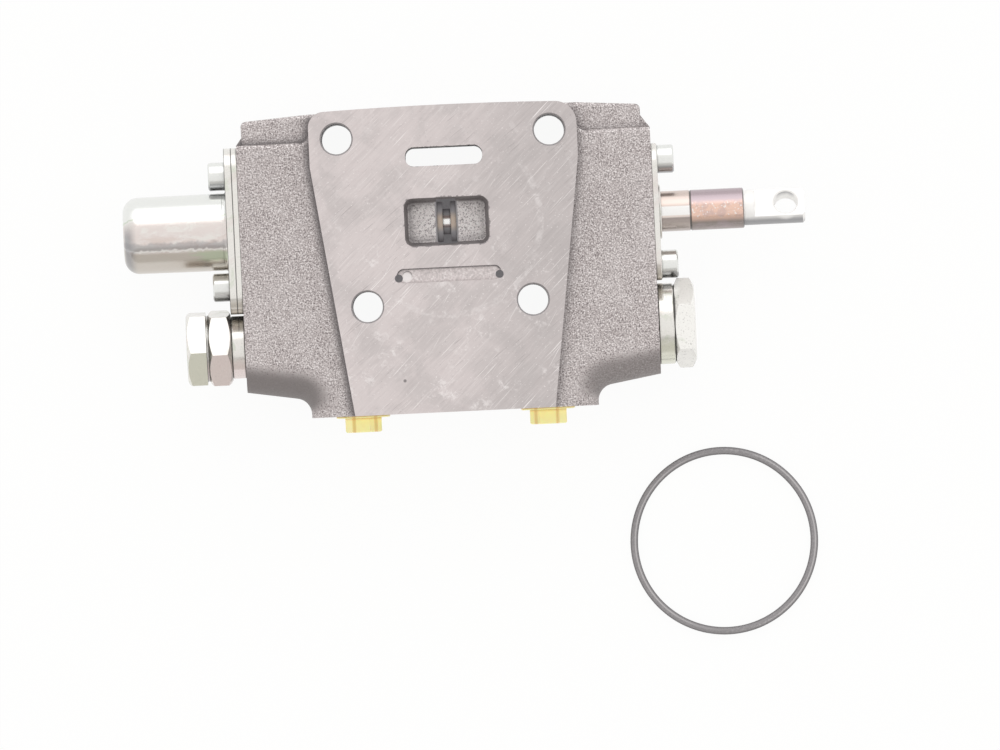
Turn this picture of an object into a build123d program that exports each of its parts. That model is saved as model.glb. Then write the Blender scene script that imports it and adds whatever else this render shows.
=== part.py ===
from build123d import *
import math
import os

# Hydraulic valve section: one slice of a sectional directional control valve.
# X runs along the spool and Y across it, with the work ports at the -Y side.
# Z is the stacking direction: the section rests on its rear mating face at z = 0.
# The origin is where the rear mating face meets the mid plane, under the spool axis.

# Casting
section_pitch = 40.0          # distance between the two mating faces
body_half_length = 71.5       # mid plane to each end face
axis_height = section_pitch / 2
face_top = 39.4               # mating face, upper edge
face_crown = 0.9              # rise of the arched upper edge at its middle
port_face = 65.8              # mid plane to the port face, downwards
face_half_top = 46.3          # mating face, half width beside the upper tie rods
face_half_bottom = 34.6       # mating face, half width at the port face
face_taper_start = 20.5       # height where the face starts to narrow
face_corner_left = 5.5
face_corner_right = 7.5
flank_relief = 3.0            # rough flanks lie this far under the mating face
shoulder_relief = 5.6         # upper shoulders lie this far under it
shoulder_height = 29.3        # height of the step between flank and shoulder
shoulder_top = 37.4
shoulder_drop = 0.4           # shoulder's top under the face's upper corners
setback_left = 1.9            # shoulders' ends behind the end faces
setback_right = 3.1
shoulder_edge = 1.5           # rounding of the shoulder's edges
shoulder_corner = 1.8
flank_edge = 1.5              # rounding of the flank's upper edge
pocket_round = 3.5            # hollow corner where the flank's upper edge meets the face
flare_rise = 1.35             # slope from the end face up to the shoulder's end, for each mm of setback
flare_inset = 1.5
flank_bottom_side = 56.0      # flank's lower edge at the end face
flank_bottom_boss = 59.6      # flank's lower edge beside the port boss
boss_width = 17.6             # port axis to the boss's outer side
boss_fillet = 5.6
flank_round = 10.5            # large rounding of the flank's lower edges

# Tie rod holes, through slot, windows and balance groove on the mating faces
tie_radius = 5.25
tie_chamfer = 0.5
tie_upper_half = 36.75
tie_upper_y = 30.0
tie_lower_half = 28.6
tie_lower_y = -28.3
slot_length = 26.6
slot_width = 6.6
slot_corner = 2.9
slot_y = 22.6
window_length = 29.2
window_width = 16.6
window_corner = 3.0
window_depth = 8.0
window_draft = 8.0            # slope of the window's walls in degrees
window_floor_round = 0.9
lip_round = 1.0               # rounded lips of the neutral passage
lip_margin = 0.3              # lips to the window's walls
groove_half = 15.6            # half distance of the groove's end centres
groove_width = 5.0
groove_depth = 1.8
groove_y = -18.3
drill_half = 17.4
drill_y = -19.05
drill_radius = 1.4
drill_depth = 15.0
spot_x = -14.4                # small spot milled in the groove's floor
spot_radius = 1.7
spot_depth = 0.3

# Seal ring between two sections, and its groove in the rear face
ring_inner = 59.92
ring_section = 2.62
ring_groove_width = 3.3
ring_groove_depth = 2.0
ring_place = (91.0, -115.0)

fit_gap = 0.05                # radial gap of parts that slide or screw together
soft_gap = 0.15               # radial gap of a seal round a moving piece
wire_sides = 8                # spring wire is drawn with flats, with a round wire's area
seat_gap = 0.1                # end gap of a part that stands before its seat, and overlap of joined forms

# Spool bore, galleries and passages
spool_radius = 7.0
spool_clearance = 0.04
gallery_reach = 3.2           # galleries are this much larger in radius than the spool
gallery_radius = spool_radius + gallery_reach
gallery_width = 6.6
gallery_wall = 7.4            # bore wall between two galleries
riser_radius = 4.5
riser_wall = 3.65             # wall between riser and lower tie rod hole
work_x = tie_lower_half + tie_radius + riser_wall + riser_radius
tank_x = work_x + gallery_width + gallery_wall
feeder_start = gallery_width / 2 + gallery_wall
feeder_end = work_x - gallery_width / 2 - gallery_wall
neutral_half = window_width / 2 - 0.2   # half width of the neutral passage in the front window
return_half = 6.0             # half width of the two neutral passages in the rear window
return_width = 2.4
seal_seat_radius = spool_radius + 3.0
seal_seat_depth = 4.2
seal_groove_depth = 1.5
tank_riser_radius = 3.0
tank_riser_x = tank_x - 2.0
tank_duct_radius = 2.8
tank_duct_y = 19.9
tank_duct_x = tank_x - 1.0
port_x = 32.0
port_core_radius = 5.5
port_core_top = 4.0           # core's upper end over the valve axis
port_thread_radius = 7.6
port_thread_depth = 13.0
port_spot_radius = 9.6
port_spot_depth = 0.6

# Spool, lengths outside the casting from the end face
travel = 6.5                  # stroke to each side of neutral
pressure_neck = 1.3           # half length of the neck in the pressure gallery
land_overlap = 1.8            # sealing length of a land at rest
narrow_land = 2.6
core_depth = 2.6              # necks between the lands are this much smaller in radius
notch_radius = 1.2
notch_length = 2.0
notch_count = 4
land_chamfer = 0.35
tail_out = 20.5               # spool's spring end
mark_out = 12.8               # turned line near the tinted band
mark_width = 0.5
mark_depth = 0.22
band_out = 31.3               # end of the full diameter
neck_length = 3.6
neck_step = 0.9               # neck before the tongue is this much smaller in radius
tongue_length = 17.5
tongue_thickness = 7.0
tongue_hole_radius = 4.05
tongue_hole_edge = 0.4        # countersink of the hole's rims
tongue_hole_back = 6.6        # hole centre to the tongue's end
tongue_end_chamfer = 0.8
tongue_tilt = 22.0            # turn of the tongue about the spool axis

# Screws of the end plates
screw_radius = 3.0
screw_clearance = 0.05
screw_plate_gap = 0.3
screw_head_radius = 4.9
screw_head = 5.8
screw_head_chamfer = 0.5
screw_socket = 5.0
screw_socket_depth = 3.0
screw_hole_spare = 2.0
cap_screw_length = 14.0
plate_screw_length = 12.0
tail_screw_head = 4.0
tail_screw_length = 15.6

# Centring springs and spring cap on the spool's tail
centring_wire = 0.85
centring_turns = 3.5
spring_gap = 1.45             # spool to the springs' inner side
centring_mean = spool_radius + spring_gap + centring_wire
collar_lip = 0.75
collar_radius = centring_mean + centring_wire + collar_lip
collar_thickness = 2.6
cap_gap = 0.7                 # collar to the cap's bore
cap_wall = 1.8
cap_bore = collar_radius + cap_gap
cap_radius = cap_bore + cap_wall
cap_draft = 0.2               # cap's end is this much smaller in radius
cap_root = 0.6                # flared root at the flange
cap_root_length = 1.5
cap_flange = 2.5
cap_spare = 4.5               # tail screw to the cap's end wall at full travel
cap_end_wall = 2.3
cap_round = 5.2
cap_inner_round = collar_lip + cap_gap - soft_gap   # keeps clear of the spring's end
head_gap = 0.3

# End plates
left_plate = 2.0
right_plate = 2.0
plate_width = section_pitch - 2 * flank_relief
plate_corner = 8.0
plate_bore = 0.5              # radial clearance of each plate round the spool
plate_edge = 0.3
cap_screw_half = cap_radius + cap_root + head_gap + screw_head_radius
cap_plate_margin = 9.5        # screw axis to the plate's end
plate_screw_half = 18.2
plate_margin = 5.5
wiper_radius = 9.4            # raised rim round the spool on the right plate
wiper_height = 0.7

# Hexagons have a turned bevel at their ends
hex_land = 0.95               # end circle as a share of the width across flats
hex_bevel = 30.0
relief_hex_turn = 10.5
relief_cap_turn = 6.0
check_hex_turn = 36.0

# Relief valve on the left port
hex_left = 24.0
relief_collar_radius = 10.8
relief_collar = 4.8
relief_collar_gap = 0.6       # collar to the cap's flange
relief_y = -(cap_screw_half + cap_plate_margin + relief_collar_gap + relief_collar_radius)
relief_hex = 8.0
relief_cap_hex = 6.8
relief_thread_radius = 9.5
relief_thread = 13.5
relief_chamber_radius = 8.0
relief_chamber = 8.0
relief_nose_radius = 6.4
relief_tip_radius = 4.95
relief_tip = 4.0
relief_seat = 2.5             # length of the wall that the tip fits
relief_bore_radius = 4.4
relief_bore_wall = 1.0        # wall between the poppet's bore and the tip
relief_orifice_radius = 2.4
relief_vent_radius = 1.2
relief_poppet_length = 8.0
relief_poppet_wall = 1.6
relief_poppet_chamfer = 1.8
relief_poppet_cup = 3.0
relief_spring_mean = 3.2
relief_spring_wire = 0.55
relief_spring_turns = 6.0
relief_spring_length = 10.3
relief_adjuster_length = 9.0
relief_slot_width = 1.4
relief_slot_depth = 1.5
relief_cap_stub_radius = 7.0
relief_cap_stub = 7.6
relief_washer = 0.7

# Check valve on the right port
hex_right = 27.0
check_corner_gap = 0.1         # screw head to the hexagon's corner
check_y = -(plate_screw_half + screw_head_radius + check_corner_gap + hex_right / math.sqrt(3))
check_thread_radius = 11.5
check_thread = 13.5
check_chamber_radius = 9.5
check_seat_x = work_x + 6.0
check_seat_radius = 6.5
check_collar_radius = hex_right / 2 + 0.5
check_collar = 5.4
check_hex = 7.4
check_bore_radius = 8.0
check_bore_wall = 2.5         # bore's end to the casting's end face
check_guide = 6.0             # length of the poppet inside the plug at rest
check_poppet_wall = 2.0
check_poppet_floor = 3.0
check_poppet_chamfer = 1.0
check_nose = 1.4
check_orifice_radius = 0.8
check_spring_mean = 4.6
check_spring_wire = 0.6
check_spring_turns = 5.0

# Shipping plugs in the ports
plug_flange_radius = 9.3
plug_flange = 1.3
plug_hex = 11.0
plug_head = 5.0
plug_thread = 9.5
plug_wall = 1.8
plug_floor = 0.8
plug_flange_edge = 0.3
plug_head_edge = 0.4

port_side = -port_face
cap_seat = -body_half_length - left_plate
cap_face = cap_seat - cap_flange
tail_end = -body_half_length - tail_out
collar_end = tail_end - collar_thickness
cap_end = collar_end - tail_screw_head - travel - cap_spare - cap_end_wall
relief_head = -body_half_length - relief_collar - relief_hex
relief_chamber_start = -body_half_length + relief_thread
relief_nose_end = relief_chamber_start + relief_chamber
relief_poppet_end = relief_nose_end - relief_bore_wall - relief_poppet_length
check_chamber_end = body_half_length - check_thread
check_bore_end = body_half_length - check_bore_wall


def along_x(low):
    """Turns a shape that stands on z = 0 so that it grows along X from low."""
    return Pos(low, 0, axis_height) * Rot(0, 90, 0)


def rod(radius, start, end, y=0.0):
    """A round bar along X between start and end."""
    low, high = min(start, end), max(start, end)
    return Pos(0, y, 0) * along_x(low) * Cylinder(
        radius, high - low, align=(Align.CENTER, Align.CENTER, Align.MIN))


def upright(radius, low, high, x):
    """A round bar along Y from low to high."""
    return Pos(x, high, axis_height) * Rot(90, 0, 0) * Cylinder(
        radius, high - low, align=(Align.CENTER, Align.CENTER, Align.MIN))


def peg(radius, low, high, x, y):
    """A round bar along Z from low to high."""
    return Pos(x, y, low) * Cylinder(radius, high - low, align=(Align.CENTER, Align.CENTER, Align.MIN))


def ring(outer, inner, start, end, y=0.0):
    """A round washer along X."""
    low, high = min(start, end), max(start, end)
    return rod(outer, low, high, y) - rod(inner, low - 1, high + 1, y)


def rim(shape, side):
    """The outermost circle of a turned shape at its high (+1) or low (-1) x end."""
    circles = shape.edges().filter_by(GeomType.CIRCLE).group_by(Axis.X)[-1 if side > 0 else 0]
    return circles.sort_by(lambda edge: edge.radius)[-1]


def hexagon(across_flats, low, high, y, turn, bevel_low, bevel_high):
    """A hexagon along X, with its corners turned down at the chosen ends."""
    corner = across_flats / math.sqrt(3) + 0.01
    land = across_flats / 2 * hex_land
    slope = (corner - land) * math.tan(math.radians(hex_bevel))
    prism = along_x(low) * extrude(
        Rot(0, 0, turn) * RegularPolygon(across_flats / math.sqrt(3), 6), high - low)
    outline = Polyline((low, 0), (low, land if bevel_low else corner),
                       (low + slope, corner), (high - slope, corner),
                       (high, land if bevel_high else corner), (high, 0), close=True)
    turned = Pos(0, 0, axis_height) * revolve(make_face(outline), Axis.X)
    return Pos(0, y, 0) * (prism & turned)


def spring(mean, wire, turns, start, end, y=0.0):
    """A compression spring along X, its two ends ground flat on its seats."""
    low, high = min(start, end), max(start, end)
    length = high - low
    path = Helix(length / turns, length, mean)
    turn = 2 * math.pi / wire_sides
    corner = wire * math.sqrt(turn / math.sin(turn))
    section = Plane(path @ 0, z_dir=path % 0) * RegularPolygon(corner, wire_sides)
    coil = Pos(0, y, 0) * along_x(low) * sweep(section, path)
    return coil & ring(mean + 2 * wire, mean - 2 * wire, low, high, y)


def face_outline():
    """Outline of the mating face: arched top, rounded upper corners, tapered sides."""
    half = face_half_top
    side = face_half_bottom
    line = Polyline((-half, face_top), (-half, face_taper_start), (-side, port_side),
                    (side, port_side), (half, face_taper_start), (half, face_top))
    arch = ThreePointArc((half, face_top), (0, face_top + face_crown), (-half, face_top))
    face = make_face(line.edges() + arch.edges())
    face = fillet(face.vertices().group_by(Axis.Y)[-1].sort_by(Axis.X)[0], face_corner_left)
    right = [v for v in face.vertices() if v.X > half - 0.01 and v.Y > face_top - 0.01]
    return fillet(right, face_corner_right)


def flank_outline():
    """Outline of the rough casting, with the port bosses below and hollow corners at the face."""
    x = body_half_length
    boss = port_x + boss_width
    line = Polyline((-x, shoulder_height), (-x, -flank_bottom_side), (-boss, -flank_bottom_boss),
                    (-boss, port_side), (boss, port_side), (boss, -flank_bottom_boss),
                    (x, -flank_bottom_side), (x, shoulder_height), close=True)
    face = make_face(line)
    inner = [v for v in face.vertices() if abs(v.Y + flank_bottom_boss) < 0.01]
    face = fillet(inner, boss_fillet)
    for side in (-1, 1):
        centre = Pos(side * (face_half_top + pocket_round), shoulder_height + pocket_round)
        block = Pos(side * (face_half_top + pocket_round / 2), shoulder_height + pocket_round / 2)
        face += block * Rectangle(pocket_round, pocket_round) - centre * Circle(pocket_round)
    return face


def shoulder_outline():
    """Outline of the upper shoulders, which lie lower than the flanks."""
    left = body_half_length - setback_left
    right = body_half_length - setback_right
    step = face_top - shoulder_drop
    line = Polyline((-left, 0), (right, 0), (right, shoulder_top), (face_half_top, step),
                    (-face_half_top, step), (-left, shoulder_top), close=True)
    face = make_face(line)
    return fillet([v for v in face.vertices() if abs(v.Y - shoulder_top) < 0.01], shoulder_corner)


def shoulder_flares():
    """Slopes between the end faces and the ends of the shoulders."""
    low = shoulder_relief + flare_inset
    foot = shoulder_height - 1
    flares = []
    for side, setback in ((-1, setback_left), (1, setback_right)):
        end = body_half_length - setback
        top = shoulder_height + flare_rise * setback
        line = Polyline((side * (end - 1), foot), (side * body_half_length, foot),
                        (side * body_half_length, shoulder_height), (side * end, top),
                        (side * (end - 1), top), close=True)
        flares.append(Pos(0, 0, low) * extrude(make_face(line), section_pitch - 2 * low))
    return flares


def casting():
    low = flank_relief
    high = section_pitch - flank_relief
    flanks = Pos(0, 0, low) * extrude(flank_outline(), high - low)
    level = flanks.edges().filter_by(
        lambda e: min(abs(e.center().Z - low), abs(e.center().Z - high)) < 0.01)
    lower = [e for e in level
             if e.center().Y < -flank_bottom_side + 0.5
             and abs(e.center().X) > port_x + boss_width - boss_fillet]
    flanks = fillet(lower, flank_round)
    upper = [e for e in flanks.edges()
             if e.center().Y > shoulder_height - 0.01 and abs(e.center().X) > face_half_top
             and min(abs(e.center().Z - low), abs(e.center().Z - high)) < 0.01
             and e.length > 2]
    flanks = fillet(upper, flank_edge)
    shoulders = Pos(0, 0, shoulder_relief) * extrude(shoulder_outline(), section_pitch - 2 * shoulder_relief)
    edges = [e for e in shoulders.edges()
             if e.center().Y > shoulder_height / 3 and abs(e.tangent_at(0.5).Z) < 0.01]
    shoulders = fillet(edges, shoulder_edge)
    return flanks + shoulders + shoulder_flares() + extrude(face_outline(), section_pitch)


def tie_holes():
    """The four tie rod holes, chamfered at both mating faces."""
    holes = []
    wide = tie_radius + tie_chamfer
    for half, y in ((tie_upper_half, tie_upper_y), (tie_lower_half, tie_lower_y)):
        for x in (-half, half):
            holes.append(peg(tie_radius, -1, section_pitch + 1, x, y))
            holes.append(Pos(x, y, section_pitch - tie_chamfer / 2) * Cone(tie_radius, wide, tie_chamfer))
            holes.append(Pos(x, y, tie_chamfer / 2) * Cone(wide, tie_radius, tie_chamfer))
    return holes


def window():
    """Drafted pocket that grows up from z = 0."""
    mouth = RectangleRounded(window_length, window_width, window_corner)
    pocket = extrude(mouth, window_depth, taper=window_draft)
    pocket = fillet(pocket.faces().sort_by(Axis.Z)[-1].edges(), window_floor_round)
    return pocket + Pos(0, 0, -1) * extrude(mouth, 1)


def neutral_lips():
    """Rounded lips where the neutral passage opens in the front window's floor."""
    slope = window_depth * math.tan(math.radians(window_draft))
    half = gallery_width / 2 + lip_round
    lips = Rectangle(2 * half, 2 * lip_round) - [
        Pos(side * half, lip_round) * Circle(lip_round) for side in (-1, 1)]
    lips = extrude(Plane.XZ * lips, window_width / 2 - slope - lip_margin, both=True)
    return Pos(0, 0, section_pitch - window_depth) * Rot(180, 0, 0) * lips


def face_cuts():
    """Through slot, windows, balance groove and its drillings, and the seal ring's groove."""
    slot = Pos(0, slot_y, -1) * extrude(
        RectangleRounded(slot_length, slot_width, slot_corner), section_pitch + 2)
    front = Pos(0, 0, section_pitch) * Rot(180, 0, 0) * window()
    cuts = [slot, window(), front, neutral_lips()]
    floor = section_pitch - groove_depth
    groove = extrude(SlotCenterToCenter(2 * groove_half, groove_width), groove_depth + 1)
    cuts.append(Pos(0, groove_y, floor) * groove)
    for side in (-1, 1):
        cuts.append(peg(drill_radius, section_pitch - drill_depth, section_pitch + 1,
                        side * drill_half, drill_y))
    cuts.append(peg(spot_radius, floor - spot_depth, section_pitch, spot_x, groove_y))
    middle = (ring_inner + ring_section) / 2
    outer = middle + ring_groove_width / 2
    inner = middle - ring_groove_width / 2
    cuts.append(peg(outer, -1, ring_groove_depth, 0, 0) - peg(inner, -2, ring_groove_depth + 1, 0, 0))
    return cuts


def bore_cuts():
    """Spool bore with its galleries and seal seats."""
    x = body_half_length
    half = gallery_width / 2
    cuts = [rod(spool_radius + spool_clearance, -x - 1, x + 1), rod(gallery_radius, -half, half)]
    cuts.append(Pos(0, 0, axis_height) * Box(gallery_width, 2 * neutral_half, axis_height - window_depth / 2,
                                             align=(Align.CENTER, Align.CENTER, Align.MIN)))
    for side in (-1, 1):
        passage = Pos(side * (feeder_start + return_width / 2), 0, window_depth / 2)
        cuts.append(passage * Box(return_width, 2 * return_half, axis_height - window_depth / 2,
                                  align=(Align.CENTER, Align.CENTER, Align.MIN)))
        cuts.append(rod(gallery_radius, side * feeder_start, side * feeder_end))
        for middle in (work_x, tank_x):
            cuts.append(rod(gallery_radius, side * (middle - half), side * (middle + half)))
        cuts.append(rod(seal_seat_radius, side * (x - seal_seat_depth), side * (x + 1)))
    return cuts


def passage_cuts():
    """Risers to the valves on the ports, and the tank duct that opens in the through slot."""
    cuts = [rod(tank_duct_radius, -tank_duct_x, tank_duct_x, tank_duct_y)]
    for side, valve_y in ((-1, relief_y), (1, check_y)):
        cuts.append(upright(riser_radius, valve_y, -spool_radius, side * work_x))
        cuts.append(upright(tank_riser_radius, valve_y, -spool_radius, side * tank_riser_x))
        cuts.append(upright(tank_duct_radius, spool_radius, tank_duct_y, side * tank_duct_x))
    return cuts


def port_cuts():
    """Work ports and their cores."""
    cuts = []
    for side, valve_y in ((-1, relief_y), (1, check_y)):
        x = side * port_x
        cuts.append(upright(port_core_radius, port_side + 1, valve_y + port_core_top, x))
        cuts.append(upright(port_thread_radius, port_side - 1, port_side + port_thread_depth, x))
        cuts.append(upright(port_spot_radius, port_side - 1, port_side + port_spot_depth, x))
    return cuts


def valve_cuts():
    """Bores of the relief valve on the left and of the check valve on the right."""
    x = body_half_length
    inner = port_x + port_core_radius - 1
    seat = relief_nose_end + relief_seat
    return [rod(relief_thread_radius, -x - 1, relief_chamber_start, relief_y),
            rod(relief_chamber_radius, relief_chamber_start, relief_nose_end, relief_y),
            rod(relief_tip_radius + fit_gap, relief_nose_end, seat, relief_y),
            rod(check_seat_radius, seat, -inner, relief_y),
            rod(check_thread_radius, check_chamber_end, x + 1, check_y),
            rod(check_chamber_radius, check_seat_x, check_chamber_end, check_y),
            rod(check_seat_radius, inner, check_seat_x, check_y)]


def screw_holes():
    """Threaded holes for the screws of both end plates."""
    radius = screw_radius + screw_clearance
    left_end = cap_face + cap_screw_length + screw_hole_spare
    right_end = body_half_length + right_plate - plate_screw_length - screw_hole_spare
    holes = []
    for side in (-1, 1):
        holes.append(rod(radius, -body_half_length - 1, left_end, side * cap_screw_half))
        holes.append(rod(radius, right_end, body_half_length + 1, side * plate_screw_half))
    return holes


def valve_body():
    cuts = tie_holes() + face_cuts() + bore_cuts() + passage_cuts()
    return casting() - cuts - port_cuts() - valve_cuts() - screw_holes()


def spool_lands():
    """Lands on the +X side as (start, end) pairs: pressure edge, tank edge and guide."""
    pressure_edge = gallery_width / 2
    tank_edge = tank_x - gallery_width / 2
    return [(pressure_neck, pressure_edge + land_overlap),
            (tank_edge - land_overlap, tank_edge - land_overlap + narrow_land),
            (tank_x + gallery_width / 2 - land_overlap / 2, body_half_length)]


def metering_notches():
    """Half-round notches at the lands' metering edges, spread round the spool."""
    lands = spool_lands()
    cuts = []
    for edge in (lands[0][1], lands[1][0]):
        for side in (-1, 1):
            for n in range(notch_count):
                turn = 360 / notch_count * n + 45
                notch = Pos(side * edge, 0, spool_radius) * Cylinder(notch_radius, notch_length)
                cuts.append(Pos(0, 0, axis_height) * Rot(turn, 0, 0) * notch)
    return cuts


def spool():
    """Spool with its lands, the spring end at -X and the tongue at +X."""
    band_end = body_half_length + band_out
    tongue_start = band_end + neck_length
    tongue_end = tongue_start + tongue_length
    lands = spool_lands()
    guide = lands[2][0]
    pieces = [rod(spool_radius, tail_end, -guide), rod(spool_radius, guide, band_end)]
    for start, end in lands[:2]:
        pieces.append(rod(spool_radius, start, end))
        pieces.append(rod(spool_radius, -start, -end))
    body = rod(spool_radius - core_depth, tail_end, band_end) + pieces
    ends = [e for e in body.edges().filter_by(GeomType.CIRCLE) if abs(e.radius - spool_radius) < 0.01]
    body = chamfer(ends, land_chamfer)
    mark = body_half_length + mark_out
    line = ring(spool_radius + 1, spool_radius - mark_depth, mark - mark_width / 2,
                mark + mark_width / 2)
    neck_radius = spool_radius - neck_step
    neck = rod(neck_radius, band_end - 1, tongue_end)
    neck = chamfer(rim(neck, 1), tongue_end_chamfer)
    tilted = Pos(0, 0, axis_height) * Rot(-tongue_tilt, 0, 0)
    mill = Box(tongue_length + 1, 4 * neck_radius, neck_radius, align=(Align.MIN, Align.CENTER, Align.MIN))
    flat = tongue_thickness / 2
    upper = tilted * Pos(tongue_start, 0, flat) * mill
    lower = tilted * Pos(tongue_start, 0, -flat - neck_radius) * mill
    hole = Cylinder(tongue_hole_radius, 4 * neck_radius)
    wide = tongue_hole_radius + 2 * tongue_hole_edge
    for side, ends in ((1, (tongue_hole_radius, wide)), (-1, (wide, tongue_hole_radius))):
        hole += Pos(0, 0, side * flat) * Cone(*ends, 2 * tongue_hole_edge)
    hole = tilted * Pos(tongue_end - tongue_hole_back, 0, 0) * hole
    tail_hole = rod(screw_radius + screw_clearance, tail_end - 1, tail_end + tail_screw_length)
    return body + neck - [upper, lower, hole, line, tail_hole] - metering_notches()


def plate_blank(low, thickness, bore, screw_half, margin):
    """An end plate with its two screw holes, from x = low upwards."""
    blank = along_x(low) * extrude(
        RectangleRounded(plate_width, 2 * (screw_half + margin), plate_corner), thickness)
    holes = [rod(bore, low - 1, low + thickness + 1)]
    for y in (-screw_half, screw_half):
        holes.append(rod(screw_radius + screw_plate_gap, low - 1, low + thickness + 1, y))
    return blank - holes


def left_seal_plate():
    return plate_blank(cap_seat, left_plate, spool_radius + plate_bore, cap_screw_half, cap_plate_margin)


def right_seal_plate():
    """Plate on the right end, with a raised rim round the spool."""
    bore = spool_radius + plate_bore
    plate = plate_blank(body_half_length, right_plate, bore, plate_screw_half, plate_margin)
    outer = body_half_length + right_plate
    outline = plate.edges().group_by(Axis.X)[-1].filter_by(lambda edge: edge.length > 8)
    outline = [e for e in outline
               if max(abs(e.center().Y), abs(e.center().Z - axis_height)) > bore]
    plate = chamfer(outline, plate_edge)
    wiper = ring(wiper_radius, bore, outer - seat_gap, outer + wiper_height)
    return plate + chamfer(rim(wiper, 1), plate_edge)


def spring_cap():
    """Drawn steel cap over the spool's spring end, with a flange for two screws."""
    flange = plate_blank(cap_face, cap_flange, cap_bore, cap_screw_half, cap_plate_margin)
    root = cap_radius + cap_root
    tip = cap_radius - cap_draft
    lean = 1 - math.sqrt(0.5)
    outline = [
        Polyline((cap_end, 0), (cap_end, tip - cap_round)),
        RadiusArc((cap_end, tip - cap_round), (cap_end + cap_round, tip), cap_round),
        Line((cap_end + cap_round, tip), (cap_face - cap_root_length, cap_radius)),
        ThreePointArc((cap_face - cap_root_length, cap_radius),
                      (cap_face - cap_root_length * lean, cap_radius + cap_root * lean), (cap_face, root)),
        Polyline((cap_face, root), (cap_seat, root), (cap_seat, 0), (cap_end, 0))]
    profile = make_face([edge for line in outline for edge in line.edges()])
    shell = Pos(0, 0, axis_height) * revolve(profile, Axis.X)
    hollow = rod(cap_bore, cap_seat + 1, cap_end + cap_end_wall)
    hollow = fillet(rim(hollow, -1), cap_inner_round)
    return flange + shell - hollow


def socket_screw(seat, side, y, length, head_height):
    """A socket head screw along X, its head seated at x = seat on the given side."""
    top = seat + side * head_height
    head = rod(screw_head_radius, seat, top, y)
    head = chamfer(rim(head, side), screw_head_chamfer)
    shank = rod(screw_radius, seat - side * length, seat, y)
    low = min(top - side * screw_socket_depth, top + side)
    socket = Pos(0, y, 0) * along_x(low) * extrude(
        RegularPolygon(screw_socket / math.sqrt(3), 6), screw_socket_depth + 1)
    return head + shank - socket


def cap_screws():
    return [socket_screw(cap_face, -1, y, cap_screw_length, screw_head)
            for y in (cap_screw_half, -cap_screw_half)]


def plate_screws():
    seat = body_half_length + right_plate
    return [socket_screw(seat, 1, y, plate_screw_length, screw_head)
            for y in (plate_screw_half, -plate_screw_half)]


def spool_seal(side):
    """Lip seal in the seat at the end of the spool bore."""
    outer_face = side * body_half_length
    inner_face = side * (body_half_length - seal_seat_depth + 2 * seat_gap)
    inner = spool_radius + soft_gap
    lip = (seal_seat_radius - inner) / 3
    groove = ring(inner + 2 * lip, inner + lip, inner_face - seal_groove_depth,
                  inner_face + seal_groove_depth)
    return ring(seal_seat_radius - fit_gap, inner, outer_face, inner_face) - groove


def centring_collar():
    """Collar held on the spool's tail between the two centring springs."""
    collar = rod(collar_radius, collar_end, tail_end)
    collar = chamfer([rim(collar, -1), rim(collar, 1)], land_chamfer)
    return collar - rod(screw_radius + screw_clearance, collar_end - 1, tail_end + 1)


def tail_screw():
    return socket_screw(collar_end, -1, 0, tail_screw_length, tail_screw_head)


def inner_centring_spring():
    return spring(centring_mean, centring_wire, centring_turns, tail_end, cap_seat)


def outer_centring_spring():
    return spring(centring_mean, centring_wire, centring_turns, cap_end + cap_end_wall, collar_end)


def relief_cartridge():
    """Relief valve cartridge: collar and hexagon outside, thread, nose and tip inside."""
    y = relief_y
    face = -body_half_length
    thread = rod(relief_thread_radius - fit_gap, face - seat_gap, relief_chamber_start, y)
    nose = rod(relief_nose_radius, relief_chamber_start - seat_gap, relief_nose_end, y)
    tip_end = relief_nose_end + relief_tip
    tip = rod(relief_tip_radius, relief_nose_end - seat_gap, tip_end, y)
    tip = chamfer(rim(tip, 1), relief_poppet_wall / 2)
    collar = rod(relief_collar_radius, face - relief_collar, face, y)
    collar = chamfer([rim(collar, -1), rim(collar, 1)], land_chamfer)
    head = hexagon(hex_left, relief_head, face - relief_collar + 0.01, y, relief_hex_turn, True, True)
    bore = rod(relief_bore_radius, relief_nose_end - relief_bore_wall, relief_head - 1, y)
    stub = rod(relief_cap_stub_radius, relief_head - 1, relief_head + relief_cap_stub, y)
    orifice = rod(relief_orifice_radius, relief_nose_end - 2, tip_end + 1, y)
    vent_x = (relief_chamber_start + relief_nose_end) / 2
    vent = Cylinder(relief_vent_radius, 3 * relief_nose_radius)
    vents = [Pos(vent_x, y, axis_height) * Rot(90 * n, 0, 0) * vent for n in range(2)]
    return thread + nose + tip + collar + head - [bore, stub, orifice] - vents


def relief_poppet():
    """Hollow poppet that closes the cartridge's orifice."""
    nose = relief_nose_end - relief_bore_wall - fit_gap
    body = rod(relief_bore_radius - fit_gap, relief_poppet_end, nose, relief_y)
    body = chamfer(rim(body, 1), relief_poppet_chamfer)
    cup_end = relief_poppet_end + relief_poppet_cup
    return body - rod(relief_bore_radius - relief_poppet_wall, relief_poppet_end - 1, cup_end, relief_y)


def relief_spring():
    return spring(relief_spring_mean, relief_spring_wire, relief_spring_turns,
                  relief_poppet_end - relief_spring_length, relief_poppet_end, relief_y)


def relief_adjuster():
    """Slotted set screw behind the relief spring."""
    face = relief_poppet_end - relief_spring_length
    end = face - relief_adjuster_length
    slot = Box(2 * relief_slot_depth, relief_slot_width, 3 * relief_bore_radius)
    slot = Pos(end, relief_y, axis_height) * slot
    return rod(relief_bore_radius - fit_gap, end, face, relief_y) - slot


def relief_cap():
    """Hexagon cap screwed into the cartridge, over the adjuster."""
    face = relief_head - relief_washer
    head = hexagon(hex_left, face - relief_cap_hex, face, relief_y, relief_cap_turn,
                   True, False)
    stub_end = relief_poppet_end - relief_spring_length - relief_adjuster_length - seat_gap
    stub = rod(relief_cap_stub_radius - fit_gap, face - seat_gap, stub_end, relief_y)
    return head + stub


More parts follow.
